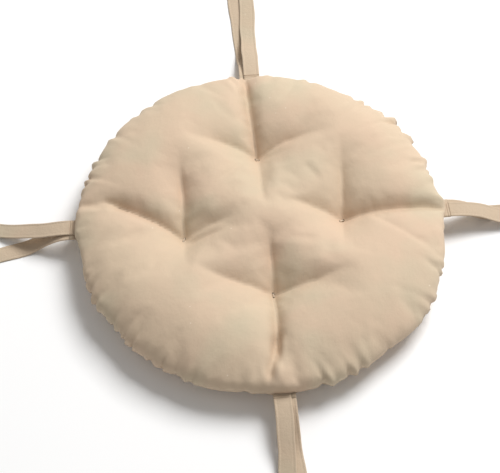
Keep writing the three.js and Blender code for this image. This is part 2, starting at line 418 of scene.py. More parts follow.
# Depth of the pleats that run in from the seam, and how far they draw in the edge
def edgePleats(angle, inside, random):
    pleat = np.zeros_like(inside)
    drawn = np.zeros_like(inside)
    for _ in range(pad["pleats"]):
        at = random.uniform(0, 2 * math.pi)
        lean = random.uniform(-0.3, 0.3)
        reach = random.uniform(*pad["pleatReach"]) * (2.2 if random.random() < 0.15 else 1)
        width = random.uniform(*pad["pleatWidth"])
        depth = pad["pleatDepth"] * random.uniform(0.3, 1.5)
        offset = angleFrom(angle + lean * inside / 100, math.degrees(at))
        groove = depth * pleatAcross(offset * pad["radius"], width, 0.7, 1.7)
        pleat += groove * np.exp(-inside / reach)
        drawn += 0.9 * groove

    # closer gathers along one stretch of the edge
    gathers = pad["gathers"]
    closer = np.random.default_rng(pad["seed"] + 1)
    for at in np.linspace(gathers["from"], gathers["to"], gathers["count"]):
        width = closer.uniform(1.8, 3.2)
        depth = gathers["depth"] * closer.uniform(0.3, 1.1)
        aside = angleFrom(angle, at + closer.uniform(-1.2, 1.2)) * pad["radius"]
        groove = depth * pleatAcross(aside, width, 0.6, 1.8)
        pleat += groove * np.exp(-inside / closer.uniform(5, 11))
        drawn += 0.7 * groove
    return pleat * smooth(inside, -3, 5), drawn


# How far out the seam lies at each angle: a circle, uneven, pulled in at the ties
def edgeOutline(angle, drawn, random):
    slow = ripple(angle, 3, random, 3, 8)
    quick = ripple(angle, 5, random, 22, 50)
    outline = pad["radius"] - drawn - pad["edgeUnevenness"] * (0.7 * slow + 0.45 * quick)
    for at, swell in pad["swells"].items():
        outline += swell * bell(angleFrom(angle, at) * pad["radius"], pad["swellWidth"])
    outline -= pad["edgeTrim"]
    for tuft in tufts.values():
        near = bell(angleFrom(angle, tuft["ties"]) * pad["radius"], pad["notchWidth"])
        outline += (tuft["edge"] - outline) * near
    return outline


# How deep the cloth is tucked in along its creases
def creaseTucks(x, y):
    tuck = np.zeros_like(x)
    for tuft in tufts.values():
        for heading, reach, depth, bend, fadeFrom in tuft["creases"].values():
            distance, along, _ = alongLine(x, y, lineFrom(tuft["at"], heading, reach, bend))
            fade = 1 - smooth(along, fadeFrom, 1.3 if fadeFrom > 0.9 else 1)
            tuck = np.maximum(tuck, depth / 0.4 * np.exp(-distance / pad["creaseCutWidth"]) * fade)
    return pad["creaseCut"] * tuck


# Depth of the small folds on the top
def smallFolds(x, y):
    total = np.zeros_like(x)
    for start, heading, reach, depth, width in folds:
        distance, along, side = alongLine(x, y, lineFrom(start, heading, reach))
        fade = smooth(along, 0, 0.25) * (1 - smooth(along, 0.55, 1))
        groove = np.exp(-distance / width) - 0.5 * bell(distance - 1.8 * width, width) * (side > 0)
        total += depth * groove * fade
    return total


# Heights above the seat, with the belly flattened where it rests
def restOnSeat(z, layer):
    seam = pad["seamHeight"]
    flatFrom = pad["flatFrom"]
    z = z * np.where(z > 0, (pad["topHeight"] - seam) / z.max(), 1) + seam
    z = np.where(z < flatFrom, flatFrom * np.exp(np.minimum((z - flatFrom) / flatFrom, 0)), z)
    z = np.where(layer < 0, np.maximum(z, 0.05), z)
    return np.where(layer < 0, z - z.min() * (1 - z / seam), z)


# Pleats, folds, the notches at the ties and the flattened underside
def finishForm(piece):
    clothPlace = np.empty(len(piece.data.vertices) * 3)
    piece.data.attributes["clothPlace"].data.foreach_get("vector", clothPlace)
    flatX, flatY, layer = clothPlace.reshape(-1, 3).T / mm
    layer = layer / 3
    top = layer > 0
    x, y, z = vertexPlaces(piece).T.copy()
    radius = np.hypot(flatX, flatY)
    inside = pad["radius"] - radius
    angle = np.arctan2(flatY, flatX)
    random = np.random.default_rng(pad["seed"])
    pleat, drawn = edgePleats(angle, inside, random)
    outline = edgeOutline(angle, drawn, random)

    # the edge is drawn back to its outline
    nearEdge = np.exp(-inside / pad["edgeReach"]) * (radius / pad["radius"]) ** 8
    pull = 1 + nearEdge * (outline / np.maximum(np.hypot(x, y), 1) - 1)
    x *= pull
    y *= pull
    z -= np.sign(layer) * pleat

    # the seam stands out furthest, and the underside draws in below it
    limit = np.where(layer < 0, outline + pad["underDraw"] * np.minimum(z, 0), outline + 0.4)
    inward = np.minimum(1, limit / np.maximum(np.hypot(x, y), 1))
    x *= inward
    y *= inward

    z -= creaseTucks(flatX, flatY) * top * smooth(inside, 0, 12)
    z -= smallFolds(flatX, flatY) * top
    places = np.stack([x, y, restOnSeat(z, layer)], axis=1)
    piece.data.vertices.foreach_set("co", (places * mm).ravel())
    piece.data.update()
    return places, layer


formPlaces, formLayer = finishForm(padForm)
print("pad formed: box", formPlaces.min(axis=0).round(1), formPlaces.max(axis=0).round(1), "mm")


def socket(group, name, kind, inOut, default=None):
    made = group.interface.new_socket(name=name, in_out=inOut, socket_type="NodeSocket" + kind)
    if default is not None:
        made.default_value = default
    return made


# Adds and links the nodes of one material or node group
class Graph:
    def __init__(self, tree):
        self.tree = tree
        self.column = 0

    def add(self, kind, settings=None, **inputs):
        node = self.tree.nodes.new("ShaderNode" + kind)
        node.location = (self.column * 190, -120 * (self.column % 4))
        self.column += 1
        for name, value in (settings or {}).items():
            setattr(node, name, value)
        for name, value in inputs.items():
            self.feed(node.inputs[name.replace("_", " ")], value)
        return node

    def feed(self, target, value):
        if isinstance(value, bpy.types.NodeSocket):
            self.tree.links.new(value, target)
        else:
            target.default_value = value

    def math(self, operation, first, second=None):
        node = self.add("Math", {"operation": operation})
        for index, value in enumerate((first, second)):
            if value is not None:
                self.feed(node.inputs[index], value)
        return node.outputs[0]

    def vector(self, operation, first, second=None, scale=None):
        node = self.add("VectorMath", {"operation": operation})
        self.feed(node.inputs[0], first)
        if second is not None:
            self.feed(node.inputs[1], second)
        if scale is not None:
            self.feed(node.inputs["Scale"], scale)
        return node.outputs["Value" if operation == "LENGTH" else "Vector"]

    def noise(self, vector, scale, detail=2.0, roughness=0.5):
        node = self.add("TexNoise", Vector=vector, Scale=scale, Detail=detail, Roughness=roughness)
        return node.outputs["Fac"]

    def mix(self, share, first, second, blend="MIX"):
        node = self.add("Mix", {"data_type": "RGBA", "blend_type": blend})
        self.feed(node.inputs[0], share)
        self.feed(node.inputs[6], first)
        self.feed(node.inputs[7], second)
        return node.outputs[2]

    def spread(self, value, low, high, newLow=0.0, newHigh=1.0):
        node = self.add("MapRange")
        for index, each in enumerate((value, low, high, newLow, newHigh)):
            self.feed(node.inputs[index], each)
        return node.outputs[0]


def newGroup(name, inputs, outputs):
    tree = bpy.data.node_groups.new(name, "ShaderNodeTree")
    for each in inputs:
        socket(tree, each[0], each[1], "INPUT", each[2] if len(each) > 2 else None)
    for each in outputs:
        socket(tree, each[0], each[1], "OUTPUT")
    graph = Graph(tree)
    start = tree.nodes.new("NodeGroupInput")
    end = tree.nodes.new("NodeGroupOutput")
    end.location = (2600, 0)
    return graph, start.outputs, end.inputs


# Plain weave: threads one over the other, uneven in thickness
def makeWeave():
    graph, given, result = newGroup(
        "plainWeave",
        [("Vector", "Vector"), ("Pitch", "Float", 0.0008), ("Unevenness", "Float", 0.5)],
        [("Height", "Float"), ("Slubs", "Float")])
    wobble = graph.add("TexNoise", Vector=given["Vector"], Scale=90.0, Detail=2.0)
    shift = graph.vector("SUBTRACT", wobble.outputs["Color"], (0.5, 0.5, 0.5))
    moved = graph.vector("ADD", given["Vector"], graph.vector("SCALE", shift, scale=0.0012))
    turns = graph.math("DIVIDE", math.pi, given["Pitch"])
    phase = graph.add("SeparateXYZ", Vector=graph.vector("SCALE", moved, scale=turns))
    across = graph.math("SINE", phase.outputs["X"])
    along = graph.math("SINE", phase.outputs["Y"])
    checks = graph.math("MULTIPLY", across, along)
    height = graph.math("ABSOLUTE", checks)
    slubs = []
    for stretch in ((1500.0, 120.0, 400.0), (120.0, 1500.0, 400.0)):
        node = graph.vector("MULTIPLY", given["Vector"], stretch)
        slubs.append(graph.noise(node, 1.0, 3.0, 0.6))
    slub = graph.math("MULTIPLY", graph.math("ADD", slubs[0], slubs[1]), 0.5)
    uneven = graph.math("MULTIPLY", slub, given["Unevenness"])
    graph.feed(result["Height"], graph.math("ADD", graph.math("MULTIPLY", height, 0.5), uneven))
    graph.feed(result["Slubs"], slub)
    return graph.tree


# Scattered pale flecks of fibre
def makeFlecks():
    graph, given, result = newGroup(
        "flecks",
        [("Vector", "Vector"), ("Spacing", "Float", 0.02), ("Size", "Float", 0.05)],
        [("Mask", "Float")])
    cells = graph.add("TexVoronoi", Vector=given["Vector"])
    graph.feed(cells.inputs["Scale"], graph.math("DIVIDE", 1.0, given["Spacing"]))
    near = graph.math("LESS_THAN", cells.outputs["Distance"], given["Size"])
    chance = graph.add("SeparateColor", Color=cells.outputs["Color"])
    some = graph.math("GREATER_THAN", chance.outputs["Red"], 0.6)
    graph.feed(result["Mask"], graph.math("MULTIPLY", near, some))
    return graph.tree


# Slow changes of tone over unbleached cloth
def makeTone():
    graph, given, result = newGroup(
        "clothTone",
        [("Vector", "Vector"), ("Warm", "Color"), ("Cool", "Color"), ("Base", "Color"),
         ("Amount", "Float", 1.0)],
        [("Color", "Color"), ("Patches", "Float")])
    broad = graph.spread(graph.noise(given["Vector"], 9.0, 3.0, 0.55), 0.42, 0.62)
    shifted = graph.vector("ADD", given["Vector"], (3.1, 1.7, 0.4))
    other = graph.spread(graph.noise(shifted, 13.0, 2.0), 0.5, 0.68)
    warm = graph.mix(graph.math("MULTIPLY", broad, given["Amount"]), given["Base"], given["Warm"])
    cool = graph.mix(graph.math("MULTIPLY", other, given["Amount"]), warm, given["Cool"])
    graph.feed(result["Color"], cool)
    graph.feed(result["Patches"], broad)
    return graph.tree


# Painted shade of a needle hole: a small near-black disc where the thread goes through the cloth
def makeNeedleHoleShade():
    graph, given, result = newGroup(
        "needleHoleShade",
        [("Vector", "Vector"), ("Centre", "Vector"), ("Radius", "Float", 0.001)],
        [("Mask", "Float")])
    offset = graph.vector("SUBTRACT", given["Vector"], given["Centre"])
    flat = graph.vector("MULTIPLY", offset, (1.0, 1.0, 0.0))
    distance = graph.math("DIVIDE", graph.vector("LENGTH", flat), given["Radius"])
    graph.feed(result["Mask"], graph.spread(distance, 0.6, 1.2, 1.0, 0.0))
    return graph.tree


weaveGroup = makeWeave()
flecksGroup = makeFlecks()
toneGroup = makeTone()
holeShadeGroup = makeNeedleHoleShade()


def useGroup(graph, group, **inputs):
    node = graph.add("Group", {"node_tree": group})
    for name, value in inputs.items():
        graph.feed(node.inputs[name], value)
    return node.outputs


def newMaterial(name):
    material = bpy.data.materials.new(name)
    material.use_nodes = True
    graph = Graph(material.node_tree)
    shader = material.node_tree.nodes["Principled BSDF"]
    shader.location = (3200, 0)
    material.node_tree.nodes["Material Output"].location = (3500, 0)
    return material, graph, shader


def clothMaterial(name, look, holes=()):
    material, graph, shader = newMaterial(name)
    place = graph.add("Attribute", {"attribute_name": "clothPlace"}).outputs["Vector"]
    tone = useGroup(graph, toneGroup, Vector=place, Base=look["base"], Warm=look["warm"],
                    Cool=look["cool"], Amount=look["patches"])
    weave = useGroup(graph, weaveGroup, Vector=place, Pitch=look["pitch"] * mm, Unevenness=look["slubs"])
    flecks = useGroup(graph, flecksGroup, Vector=place, Spacing=look["fleckSpacing"] * mm, Size=0.045)
    # Painted shade and highlight of the weave: the colour is darker in the gaps between threads and
    # lighter on their crowns; it also varies with the slubs' uneven thickness
    contrast = look["weaveShadeAndToneContrast"]
    threads = graph.spread(weave["Height"], 0.1, 0.9, 1 - contrast, 1 + contrast)
    shading = graph.add("CombineColor", Red=threads, Green=threads, Blue=threads).outputs["Color"]
    colour = graph.mix(1.0, tone["Color"], shading, "MULTIPLY")
    flecked = graph.math("MULTIPLY", flecks["Mask"], look["fleckStrength"])
    colour = graph.mix(flecked, colour, look["fleck"])
    # Painted shade: ambient occlusion darkens the colour towards a brown in creases, hollows and narrow
    # gaps, where shade falls
    if look.get("paintedShade"):
        ambient = graph.add("AmbientOcclusion", {"samples": 8}, Distance=look["paintedShadeReach"] * mm)
        dark = graph.spread(ambient.outputs["AO"], 0.35, 0.95, look["paintedShade"], 0.0)
        colour = graph.mix(dark, colour, look["paintedShadeColour"])
    where = graph.add("NewGeometry").outputs["Position"]
    # painted shade: a near-black disc round each place where a tuft thread goes through the cloth
    for hole in holes:
        mask = useGroup(graph, holeShadeGroup, Vector=where, Centre=tuple(hole), Radius=1.1 * mm)["Mask"]
        colour = graph.mix(mask, colour, (0.012, 0.009, 0.006, 1))
    graph.feed(shader.inputs["Base Color"], colour)
    rough = graph.spread(weave["Slubs"], 0.3, 0.7, look["rough"] - 0.06, look["rough"] + 0.06)
    graph.feed(shader.inputs["Roughness"], rough)
    crumple = graph.noise(place, look["crumpleScale"], 4.0, 0.6)
    fine = graph.add("Bump", Height=weave["Height"], Distance=look["weaveDepth"] * mm)
    broad = graph.add("Bump", Height=crumple, Distance=look["crumpleDepth"] * mm,
                      Normal=fine.outputs["Normal"])
    graph.feed(shader.inputs["Normal"], broad.outputs["Normal"])
    shader.inputs["Specular IOR Level"].default_value = 0.2
    shader.inputs["Sheen Weight"].default_value = look["sheen"]
    shader.inputs["Sheen Roughness"].default_value = 0.5
    shader.inputs["Sheen Tint"].default_value = (1, 0.93, 0.84, 1)
    return material


calicoLook = {
    "base": (0.61, 0.48, 0.347, 1),
    "warm": (0.643, 0.478, 0.349, 1),
    "cool": (0.562, 0.484, 0.349, 1),
    "patches": 0.75,
    "pitch": 0.72,
    "slubs": 0.9,
    "weaveShadeAndToneContrast": 0.05,
    "fleck": (0.95, 0.86, 0.74, 1),
    "fleckStrength": 0.35,
    "fleckSpacing": 16,
    "rough": 0.86,
    "weaveDepth": 0.12,
    "crumpleScale": 60.0,
    "crumpleDepth": 0.8,
    "sheen": 0.12,
    # painted shade in creases and hollows: its strength, its reach in millimetres and its brown
    "paintedShade": 0.45,
    "paintedShadeReach": 20,
    "paintedShadeColour": (0.42, 0.27, 0.17, 1),
}
tieLook = dict(calicoLook)
tieLook.update({
    "base": (0.53, 0.42, 0.306, 1),
    "warm": (0.56, 0.43, 0.31, 1),
    "cool": (0.49, 0.42, 0.306, 1),
    "weaveShadeAndToneContrast": 0.07,
    "crumpleScale": 110.0,
    "fleckStrength": 0.3,
    # weaker, shorter painted shade on the ties
    "paintedShade": 0.1,
    "paintedShadeReach": 4,
})


# One panel of the cover, cut out of the form and given its thickness inward
def panelPart(name, faceLists, wanted, lift):
    mesh = padForm.data
    chosen = [p for p in mesh.polygons if p.index in faceLists]
    used = sorted({corner for p in chosen for corner in p.vertices})
    index = {corner: i for i, corner in enumerate(used)}
    places = formPlaces[used].copy()
    angle = np.arctan2(places[:, 1], places[:, 0])
    inside = pad["radius"] - np.hypot(places[:, 0], places[:, 1])
    parted = np.zeros(len(used))
    for tuft in tufts.values():
        aside = abs(angleFrom(angle, tuft["ties"])) * pad["radius"]
        opening = (1 - smooth(aside, 10, 14)) * np.exp(-np.maximum(inside, 0) / 6)
        parted = np.maximum(parted, pad["mouth"] * opening)
    places[:, 2] += wanted * (lift + parted)
    piece = newPiece(name, places, [[index[corner] for corner in p.vertices] for p in chosen])
    clothPlace = np.empty(len(mesh.vertices) * 3)
    mesh.attributes["clothPlace"].data.foreach_get("vector", clothPlace)
    layerPlaces = clothPlace.reshape(-1, 3)[used] / mm
    layerPlaces[:, 2] = wanted * 3
    setClothPlace(piece, layerPlaces)
    thick = piece.modifiers.new("Thickness", "SOLIDIFY")
    thick.thickness = pad["clothThickness"] * mm
    thick.offset = -1
    applyModifiers(piece)
    return piece


perFace = 4  # each simulated face was divided into four
topSet = set(range(len(topFaces) * perFace))
bottomSet = set(range(len(topFaces) * perFace, (len(topFaces) + len(bottomFaces)) * perFace))
topCloth = panelPart("top_cloth", topSet, 1, 0.25)
bottomCloth = panelPart("bottom_cloth", bottomSet, -1, 0.0)
print("panels made:", len(topCloth.data.vertices), len(bottomCloth.data.vertices), "points")


core = {
    "inset": 2.4,  # how far the fibre stays inside the cloth
    "edgeShrink": 0.045,  # share of its width it gives up towards the seam
    "edgeFrom": 120,
    "lowest": 1.3,
}


def makeFilling():
    mesh = padForm.data
    normals = np.empty(len(mesh.vertices) * 3)
    mesh.vertices.foreach_get("normal", normals)
    normals = normals.reshape(-1, 3)
    radius = np.hypot(formPlaces[:, 0], formPlaces[:, 1])
    places = formPlaces - normals * core["inset"]
    shrink = 1 - core["edgeShrink"] * smooth(radius, core["edgeFrom"], pad["radius"])
    places[:, 0] *= shrink
    places[:, 1] *= shrink
    places[:, 2] = np.maximum(places[:, 2], core["lowest"])
    faces = [list(p.vertices) for p in mesh.polygons]
    return newPiece("filling_form", places, faces)


filling = makeFilling()


def surfaceOf(piece):
    mesh = piece.data
    return BVHTree.FromPolygons([v.co for v in mesh.vertices], [list(p.vertices) for p in mesh.polygons])


topSurface = surfaceOf(topCloth)
bottomSurface = surfaceOf(bottomCloth)


def heightOn(surface, x, y, fromAbove=True):
    sign = 1 if fromAbove else -1
    hit = surface.ray_cast(Vector((x * mm, y * mm, sign * 0.2)), Vector((0, 0, -sign)))[0]
    return hit.z / mm if hit else None


thread = {
    "radius": 0.55,
    "stitchLength": 4.0,
    "strands": 2,
    "twist": 3.2,  # length of one turn
    "knotRadius": 1.6,
    "heading": {"right": 20, "back": -35, "left": 60, "front": 100},
}


# Strands twisted about a path
def twisted(path, radius, strands, twist, sides=7):
    path = np.asarray(path, float)
    steps = np.concatenate([[0], np.cumsum(np.linalg.norm(np.diff(path, axis=0), axis=1))])
    count = max(int(steps[-1] / 0.35), 4)
    at = np.linspace(0, steps[-1], count)
    line = np.stack([np.interp(at, steps, path[:, k]) for k in range(3)], axis=1)
    for _ in range(2):
        line[1:-1] = (line[:-2] + 2 * line[1:-1] + line[2:]) / 4
    along = np.gradient(line, axis=0)
    along /= np.linalg.norm(along, axis=1)[:, None]
    side = np.cross(along[0], [0.3, 0.5, 0.8])
    parts = []
    frames = []
    for direction in along:
        side = side - direction * side.dot(direction)
        side /= np.linalg.norm(side)
        frames.append((side.copy(), np.cross(direction, side)))
    for k in range(strands):
        turn = 2 * math.pi * (at / twist + k / strands)
        strand = []
        for point, t, (a, b) in zip(line, turn, frames):
            strand.append(point + radius * 0.5 * (math.cos(t) * a + math.sin(t) * b))
        parts.append(tube(strand, radius * 0.58, sides))
    return joined(parts)


def makeTuftThread(name, tuft):
    x, y = tuft["at"]
    reach = around(thread["stitchLength"] / 2, thread["heading"][name])
    radius = thread["radius"]
    ends = []
    for sign in (-1, 1):
        px, py = x + sign * reach[0], y + sign * reach[1]
        ends.append((px, py, heightOn(topSurface, px, py), heightOn(bottomSurface, px, py, False)))
    middle = heightOn(topSurface, x, y)
    low = min(end[3] for end in ends)
    knotHeight = max(low - thread["knotRadius"] * 0.4, thread["knotRadius"] + 0.15)
    (ax, ay, az, _), (bx, by, bz, _) = ends
    path = [(x, y, knotHeight), (ax, ay, low + 3), (ax, ay, az - 1.5), (ax, ay, az + radius * 0.6)]
    path.append((x, y, max(middle, (az + bz) / 2) + radius * 1.3))
    path += [(bx, by, bz + radius * 0.6), (bx, by, bz - 1.5), (bx, by, low + 3), (x, y, knotHeight)]
    # a small overhand knot and its two cut ends under the pad
    turns = np.linspace(0, 4 * math.pi, 40)
    knot = [(x + 0.9 * math.cos(t) * (1 + 0.25 * math.sin(1.5 * t)), y + 0.9 * math.sin(t),
             knotHeight + 0.55 * math.sin(1.5 * t + 0.6)) for t in turns]
    centre = np.array([x, y, knotHeight])
    tail = centre + [(0, 0, 0), (2.5, 1.2, -0.2), (4.6, 1.8, 0.2)]
    other = centre + [(0, 0, 0), (-1.8, 2.3, -0.2), (-2.4, 4.0, 0.3)]
    parts = [twisted(path, radius, thread["strands"], thread["twist"]), twisted(knot, radius, 2, 2.5)]
    parts += [twisted(line, radius, 2, thread["twist"]) for line in (tail, other)]
    points, faces = joined(parts)
    piece = newPiece("tuft_stitch_" + name, points, faces)
    # places where the calico gets painted hole shade, where the thread goes through
    holes = [Vector((end[0] * mm, end[1] * mm, 0)) for end in ends]
    return piece, holes


tuftStitches = {}
needleHoles = []
for name, tuft in tufts.items():
    tuftStitches[name], holes = makeTuftThread(name, tuft)
    needleHoles.extend(holes)
print("tuft threads made")


seam = {"inset": 3.0, "stitch": 2.8, "gap": 0.9, "radius": 0.28}


def makeSeam():
    rim = formPlaces[formLayer == 0]
    angles = np.arctan2(rim[:, 1], rim[:, 0])
    order = np.argsort(angles)
    radii = np.hypot(rim[:, 0], rim[:, 1])[order] - seam["inset"]
    angles = angles[order]
    length = 2 * math.pi * (pad["radius"] - seam["inset"])
    count = int(length / (seam["stitch"] + seam["gap"]))
    parts = []
    for k in range(count):
        start = 2 * math.pi * k / count - math.pi
        turn = start + np.linspace(0, seam["stitch"] / pad["radius"], 5)
        radius = np.interp(turn, angles, radii, period=2 * math.pi)
        height = pad["seamHeight"] + 0.1 + np.array([-0.1, 0.0, 0.05, 0.0, -0.1])
        line = np.stack([radius * np.cos(turn), radius * np.sin(turn), height], axis=1)
        parts.append(tube(line, seam["radius"], 6))
    points, faces = joined(parts)
    return newPiece("seam_stitches", points, faces)


seamStitches = makeSeam()
print("seam stitched")


ties = {
    "width": 18,
    "thickness": 1.6,
    "length": 240,
    "aside": 2.5,  # each tie of a pair lies this far to its own side of the middle
    "gap": 0.4,
    "droop": {"lower": 62, "upper": 100},  # length over which a tie comes down to the seat
    "splayStart": 8,
    "splay": 60,
    "splayedApart": 4,
    "fall": 45,
    "edgeRound": 0.55,
    "stitchInset": 1.7,
    "stitch": 2.6,
    "stitchGap": 1.0,
    "stitchRadius": 0.17,
    "stitchFrom": 8,  # the rows start this far from the fold line
    "turns": {"right": (2, -12), "back": (4, -1), "left": (16, -15), "front": (2, -6)},
    "steps": 96,  # pieces along a tie
    "bead": 1.7,  # radius of the folded cloth that the ties turn about
    "beadGap": 0.07,
    "foldAt": 203,  # how far from the middle of the pad it lies
}


def pairName(upper):
    return "upper" if upper else "lower"


# Directions out from the pad and along its edge at a tie, and the middle of the fold line
def foldFrame(side):
    out = np.append(around(1, tufts[side]["ties"]), 0)
    along = np.append(around(1, tufts[side]["ties"] + 90), 0)
    return out, along, out * ties["foldAt"] + np.array([0, 0, pad["seamHeight"]])


# How far a tie lies to its own side of the middle of the pair, signed
def sideShift(side, upper):
    lower, higher = ties["turns"][side]
    return (1 if upper else -1) * np.sign(higher - lower) * ties["aside"]


# Points down the middle of a tie, with the directions onward, across and up there
def tieRoute(side, upper, steps):
    lower, higher = ties["turns"][side]
    turn = math.radians(higher if upper else lower)
    room = ties["width"] + ties["splayedApart"] - 2 * ties["aside"]
    apart = math.radians(abs(higher - lower))
    fallStart = ties["splayStart"] + ties["splay"] / 2 + room / math.tan(apart)
    falls = upper and fallStart + ties["fall"] < ties["length"]
    droop = ties["droop"][pairName(upper)]
    pairThickness = 2 * ties["thickness"] + ties["gap"]

    def height(along):
        down = smooth(along, 0, droop) * (pad["seamHeight"] - pairThickness / 2)
        further = smooth(along, fallStart, fallStart + ties["fall"]) * (ties["thickness"] + ties["gap"])
        return -down - (further if falls else 0)

    def directions(along):
        slope = height(along + 0.5) - height(along - 0.5)
        heading = turn * smooth(along, ties["splayStart"], ties["splayStart"] + ties["splay"])
        flat = math.sqrt(1 - slope ** 2)
        onward = np.array([flat * math.cos(heading), flat * math.sin(heading), slope])
        across = np.array([-math.sin(heading), math.cos(heading), 0])
        return onward, across, np.cross(onward, across)

    step = ties["length"] / steps
    middle = np.zeros(3)
    stations = []
    for i in range(steps + 1):
        middle[2] = height(i * step)
        stations.append((middle.copy(), *directions(i * step)))
        middle = middle + directions((i + 0.5) * step)[0] * step
    return stations


# Outline of a strap seen end on: flat, with rounded edges and a turned-in fold along each side
def strapOutline(width, thickness):
    half = width / 2
    nearEdge = [half - inset for inset in (4.6, 3.7, 3.0, 2.4, 1.8, 1.1, ties["edgeRound"])]
    steps = [-place for place in nearEdge[::-1]] + [-2.4, 0, 2.4] + nearEdge
    upper = []
    for place in steps:
        ridge = 0.16 * bell(abs(place) - (half - 1.2), 0.9) - 0.14 * bell(abs(place) - (half - 3.0), 0.7)
        upper.append((place, thickness / 2 - 0.14 + ridge))
    edge = [(half - 0.15, thickness * 0.3), (half, 0), (half - 0.15, -thickness * 0.3)]
    lower = [(place, -rise) for place, rise in upper[::-1]]
    other = [(-place, -rise) for place, rise in edge]
    return upper + edge + lower + other


# Rows of stitches down one edge of a tie and across the hem at its free end, on both faces
def tieStitches(place, steps, edgeSign):
    parts = []
    pitch = ties["stitch"] + ties["stitchGap"]
    surface = ties["thickness"] / 2 - 0.02
    row = ties["width"] / 2 - ties["stitchInset"]
    for face in (1, -1):
        for k in range(int((ties["length"] - ties["stitchFrom"] - 4) / pitch)):
            line = []
            for share, rise in ((0, -0.2), (0.2, 0.05), (0.5, 0.10), (0.8, 0.05), (1, -0.2)):
                along = ties["stitchFrom"] + k * pitch + share * ties["stitch"]
                at = along / ties["length"] * steps
                first = min(int(at), steps - 1)
                near = place(first, edgeSign * row, face * (surface + rise))
                far = place(first + 1, edgeSign * row, face * (surface + rise))
                line.append(near + (far - near) * (at - first))
            parts.append(tube(line, ties["stitchRadius"], 5))
        for k in range(int((ties["width"] - 4) / pitch)):
            line = []
            for share, rise in ((0, -0.2), (0.3, 0.06), (0.7, 0.06), (1, -0.2)):
                across = -ties["width"] / 2 + 2.2 + k * pitch + share * ties["stitch"]
                line.append(place(steps - 3, across, face * (surface + rise)))
            parts.append(tube(line, ties["stitchRadius"], 5))
    return joined(parts)


def makeTie(side, upper):
    random = np.random.default_rng(sum(map(ord, side)) + 7 * upper)
    sign = 1 if upper else -1
    aside = sideShift(side, upper)
    lift = sign * (ties["thickness"] + ties["gap"]) / 2
    steps = ties["steps"]
    reach = ties["bead"] + ties["beadGap"]
    stations = tieRoute(side, upper, steps)
    outline = strapOutline(ties["width"], ties["thickness"])
    phases = random.uniform(0, 2 * math.pi, 4)
    turnX, turnY, origin = foldFrame(side)

    # at the root the strap's end is hollowed to fit the bead that it turns about
    def place(i, across, rise, rootHeight=math.inf):
        middle, onward, sideways, up = stations[i]
        along = i * ties["length"] / steps
        wander = 0.45 * math.sin(along / 19 + phases[0]) + 0.3 * math.sin(along / 7.3 + phases[1])
        wander *= smooth(along, 12, 50)
        narrow = 1 - 0.03 * math.sin(along / 11 + phases[2]) * smooth(along, 15, 50)
        wave = 0.05 * math.sin(along / 5.1 + phases[3] + across / 4) * smooth(along, 10, 40)
        height = rise + lift + wave
        height = sign * min(abs(height), rootHeight)
        point = middle.copy()
        if i == 0:
            hollow = math.sqrt(max(reach ** 2 - height ** 2, 0))
            point = point + onward * max(hollow, abs(height))
        point = point + sideways * (across * narrow + aside + wander) + up * height
        point = origin + turnX * point[0] + turnY * point[1] + np.array([0, 0, point[2]])
        point[2] = max(point[2], 0.02)
        return point

    points = []
    flat = []
    rings = [(0, reach * math.sin(math.radians(turn))) for turn in (6.5, 19, 32, 45)]
    rings += [(i, math.inf) for i in range(steps + 1)]
    for i, rootHeight in rings:
        for across, rise in outline:
            points.append(place(i, across, rise, rootHeight))
            flat.append((across + 40 * sign, i * ties["length"] / steps, 50 * sign))
    ring = len(outline)
    last = len(rings) - 1
    faces = []
    for i in range(last):
        for k in range(ring):
            n = (k + 1) % ring
            faces.append([i * ring + k, (i + 1) * ring + k, (i + 1) * ring + n, i * ring + n])
    faces.append(list(range(ring)))
    faces.append([last * ring + k for k in range(ring)][::-1])
    strap = newPiece(f"strap_{side}_{pairName(upper)}", points, faces)
    setClothPlace(strap, flat)
    mergeClose(strap)
    stitches = tieStitches(place, steps, 1 if aside > 0 else -1)
    sewn = newPiece(f"strap_stitches_{side}_{pairName(upper)}", *stitches)
    return strap, sewn


# The sewn-in end of a pair of ties, narrowing to the fold line
def makeTieEnd(side):
    turnX, turnY, origin = foldFrame(side)
    points = []
    faces = []
    flat = []
    for upper in (False, True):
        sign = 1 if upper else -1
        aside = sideShift(side, upper)
        half = ties["width"] / 2
        # seen from the side: from inside the pad to the nose at the fold line
        bead = ties["bead"]
        profile = [(-13, 0.05), (-4, 0.05), (bead, 0.05)]
        for turn in (*range(11, 133, 11), 138):
            profile.append((bead * math.cos(math.radians(turn)), bead * math.sin(math.radians(turn))))
        profile += [(-1.94, 1.60), (-2.4, 1.76), (-3.4, 1.78), (-8, 1.78), (-13, 1.78)]
        acrossSteps = np.linspace(-half, half, 13)
        start = len(points)
        for across in acrossSteps:
            edge = 1 - 0.25 * smooth(abs(across), half - 0.8, half)
            for along, rise in profile:
                height = 0.05 + (rise - 0.05) * edge
                point = origin + turnX * along + turnY * (across + aside)
                points.append(point + np.array([0, 0, sign * height]))
                flat.append((across + 40 * sign, along, 50 * sign))
        ring = len(profile)
        for i in range(len(acrossSteps) - 1):
            for k in range(ring):
                n = (k + 1) % ring
                here = start + i * ring
                beyond = here + ring
                quad = [here + k, here + n, beyond + n, beyond + k]
                faces.append(quad if upper else quad[::-1])
        first = [start + k for k in range(ring)]
        last = [start + (len(acrossSteps) - 1) * ring + k for k in range(ring)]
        faces.append(first[::-1] if upper else first)
        faces.append(last if upper else last[::-1])
    piece = newPiece("strap_ends_" + side, points, faces)
    setClothPlace(piece, flat)
    return piece


